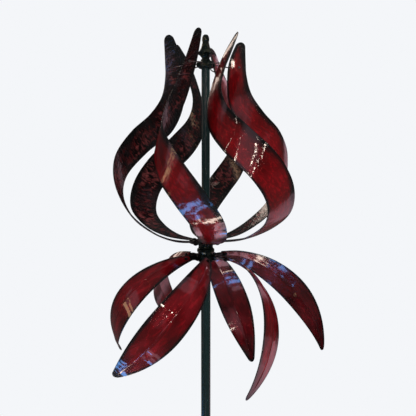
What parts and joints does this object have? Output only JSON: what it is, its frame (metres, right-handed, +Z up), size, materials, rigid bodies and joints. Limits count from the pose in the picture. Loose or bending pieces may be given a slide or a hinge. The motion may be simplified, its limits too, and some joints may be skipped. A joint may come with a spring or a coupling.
{
  "type": "kinetic wind sculpture",
  "caption": "Garden wind spinner on a staked pole: a tulip-shaped rotor of twisted ribbon blades above a rotor of drooping pointed leaves, each turning on a spindle under a turned finial.",
  "frame": {"origin": "on the spindle's axis at ground level, where the fork enters the soil", "axes": "+Z up along the spindle's axis, -Y towards the viewer, +X to the viewer's right"},
  "size_m": [0.5594, 0.5152, 2.1313],
  "materials": {
    "blade_red": "candy red lacquer over textured steel, edges sprayed black, high gloss",
    "leaf_red": "candy red lacquer over steel, edges sprayed black, high gloss",
    "dark_metal": "near-black green lacquer with bronze highlights, glossy",
    "pole_paint": "near-black green powder coat, glossy",
    "steel": "ground bright steel",
    "nylon": "natural nylon"
  },
  "bodies": {
    "stand": {"ground_fork": "pole_paint", "fork_clamp_screw": "pole_paint", "lower_pole": "pole_paint", "middle_pole": "pole_paint", "upper_pole": "pole_paint", "pole_plug": "dark_metal", "spindle": "steel", "lower_thrust_washer": "nylon", "upper_thrust_washer": "nylon", "spacer_collar": "dark_metal", "collar_set_screw": "steel"},
    "lower_rotor": {"lower_hub": "dark_metal", "lower_hub_bottom_bush": "nylon", "lower_hub_top_bush": "nylon", "leaf_bracket_1": "dark_metal", "leaf_bracket_2": "dark_metal", "leaf_bracket_3": "dark_metal", "leaf_bracket_4": "dark_metal", "leaf_bracket_5": "dark_metal", "leaf_bracket_6": "dark_metal", "leaf_1": "leaf_red", "leaf_2": "leaf_red", "leaf_3": "leaf_red", "leaf_4": "leaf_red", "leaf_5": "leaf_red", "leaf_6": "leaf_red", "leaf_bolt_1": "dark_metal", "leaf_bolt_2": "dark_metal", "leaf_bolt_3": "dark_metal", "leaf_bolt_4": "dark_metal", "leaf_bolt_5": "dark_metal", "leaf_bolt_6": "dark_metal"},
    "upper_rotor": {"rotor_tube": "dark_metal", "bottom_hub_plate": "dark_metal", "tube_bottom_bush": "nylon", "tube_top_bush": "nylon", "blade_1": "blade_red", "blade_2": "blade_red", "blade_3": "blade_red", "blade_4": "blade_red", "blade_5": "blade_red", "blade_6": "blade_red", "blade_bolt_1": "dark_metal", "blade_bolt_2": "dark_metal", "blade_bolt_3": "dark_metal", "blade_bolt_4": "dark_metal", "blade_bolt_5": "dark_metal", "blade_bolt_6": "dark_metal", "spoke_rod_1": "dark_metal", "spoke_rod_2": "dark_metal", "spoke_rod_3": "dark_metal", "spoke_rod_4": "dark_metal", "spoke_rod_5": "dark_metal", "spoke_rod_6": "dark_metal", "top_hub": "dark_metal", "finial": "dark_metal"}
  },
  "joints": [
    {"name": "upper_rotor_spin", "type": "hinge", "parent": "stand", "child": "upper_rotor", "pos_m": [0, 0, 1.35], "axis": [0, 0, 1], "continuous": true},
    {"name": "lower_rotor_spin", "type": "hinge", "parent": "stand", "child": "lower_rotor", "pos_m": [0, 0, 1.31], "axis": [0, 0, 1], "continuous": true}
  ]
}
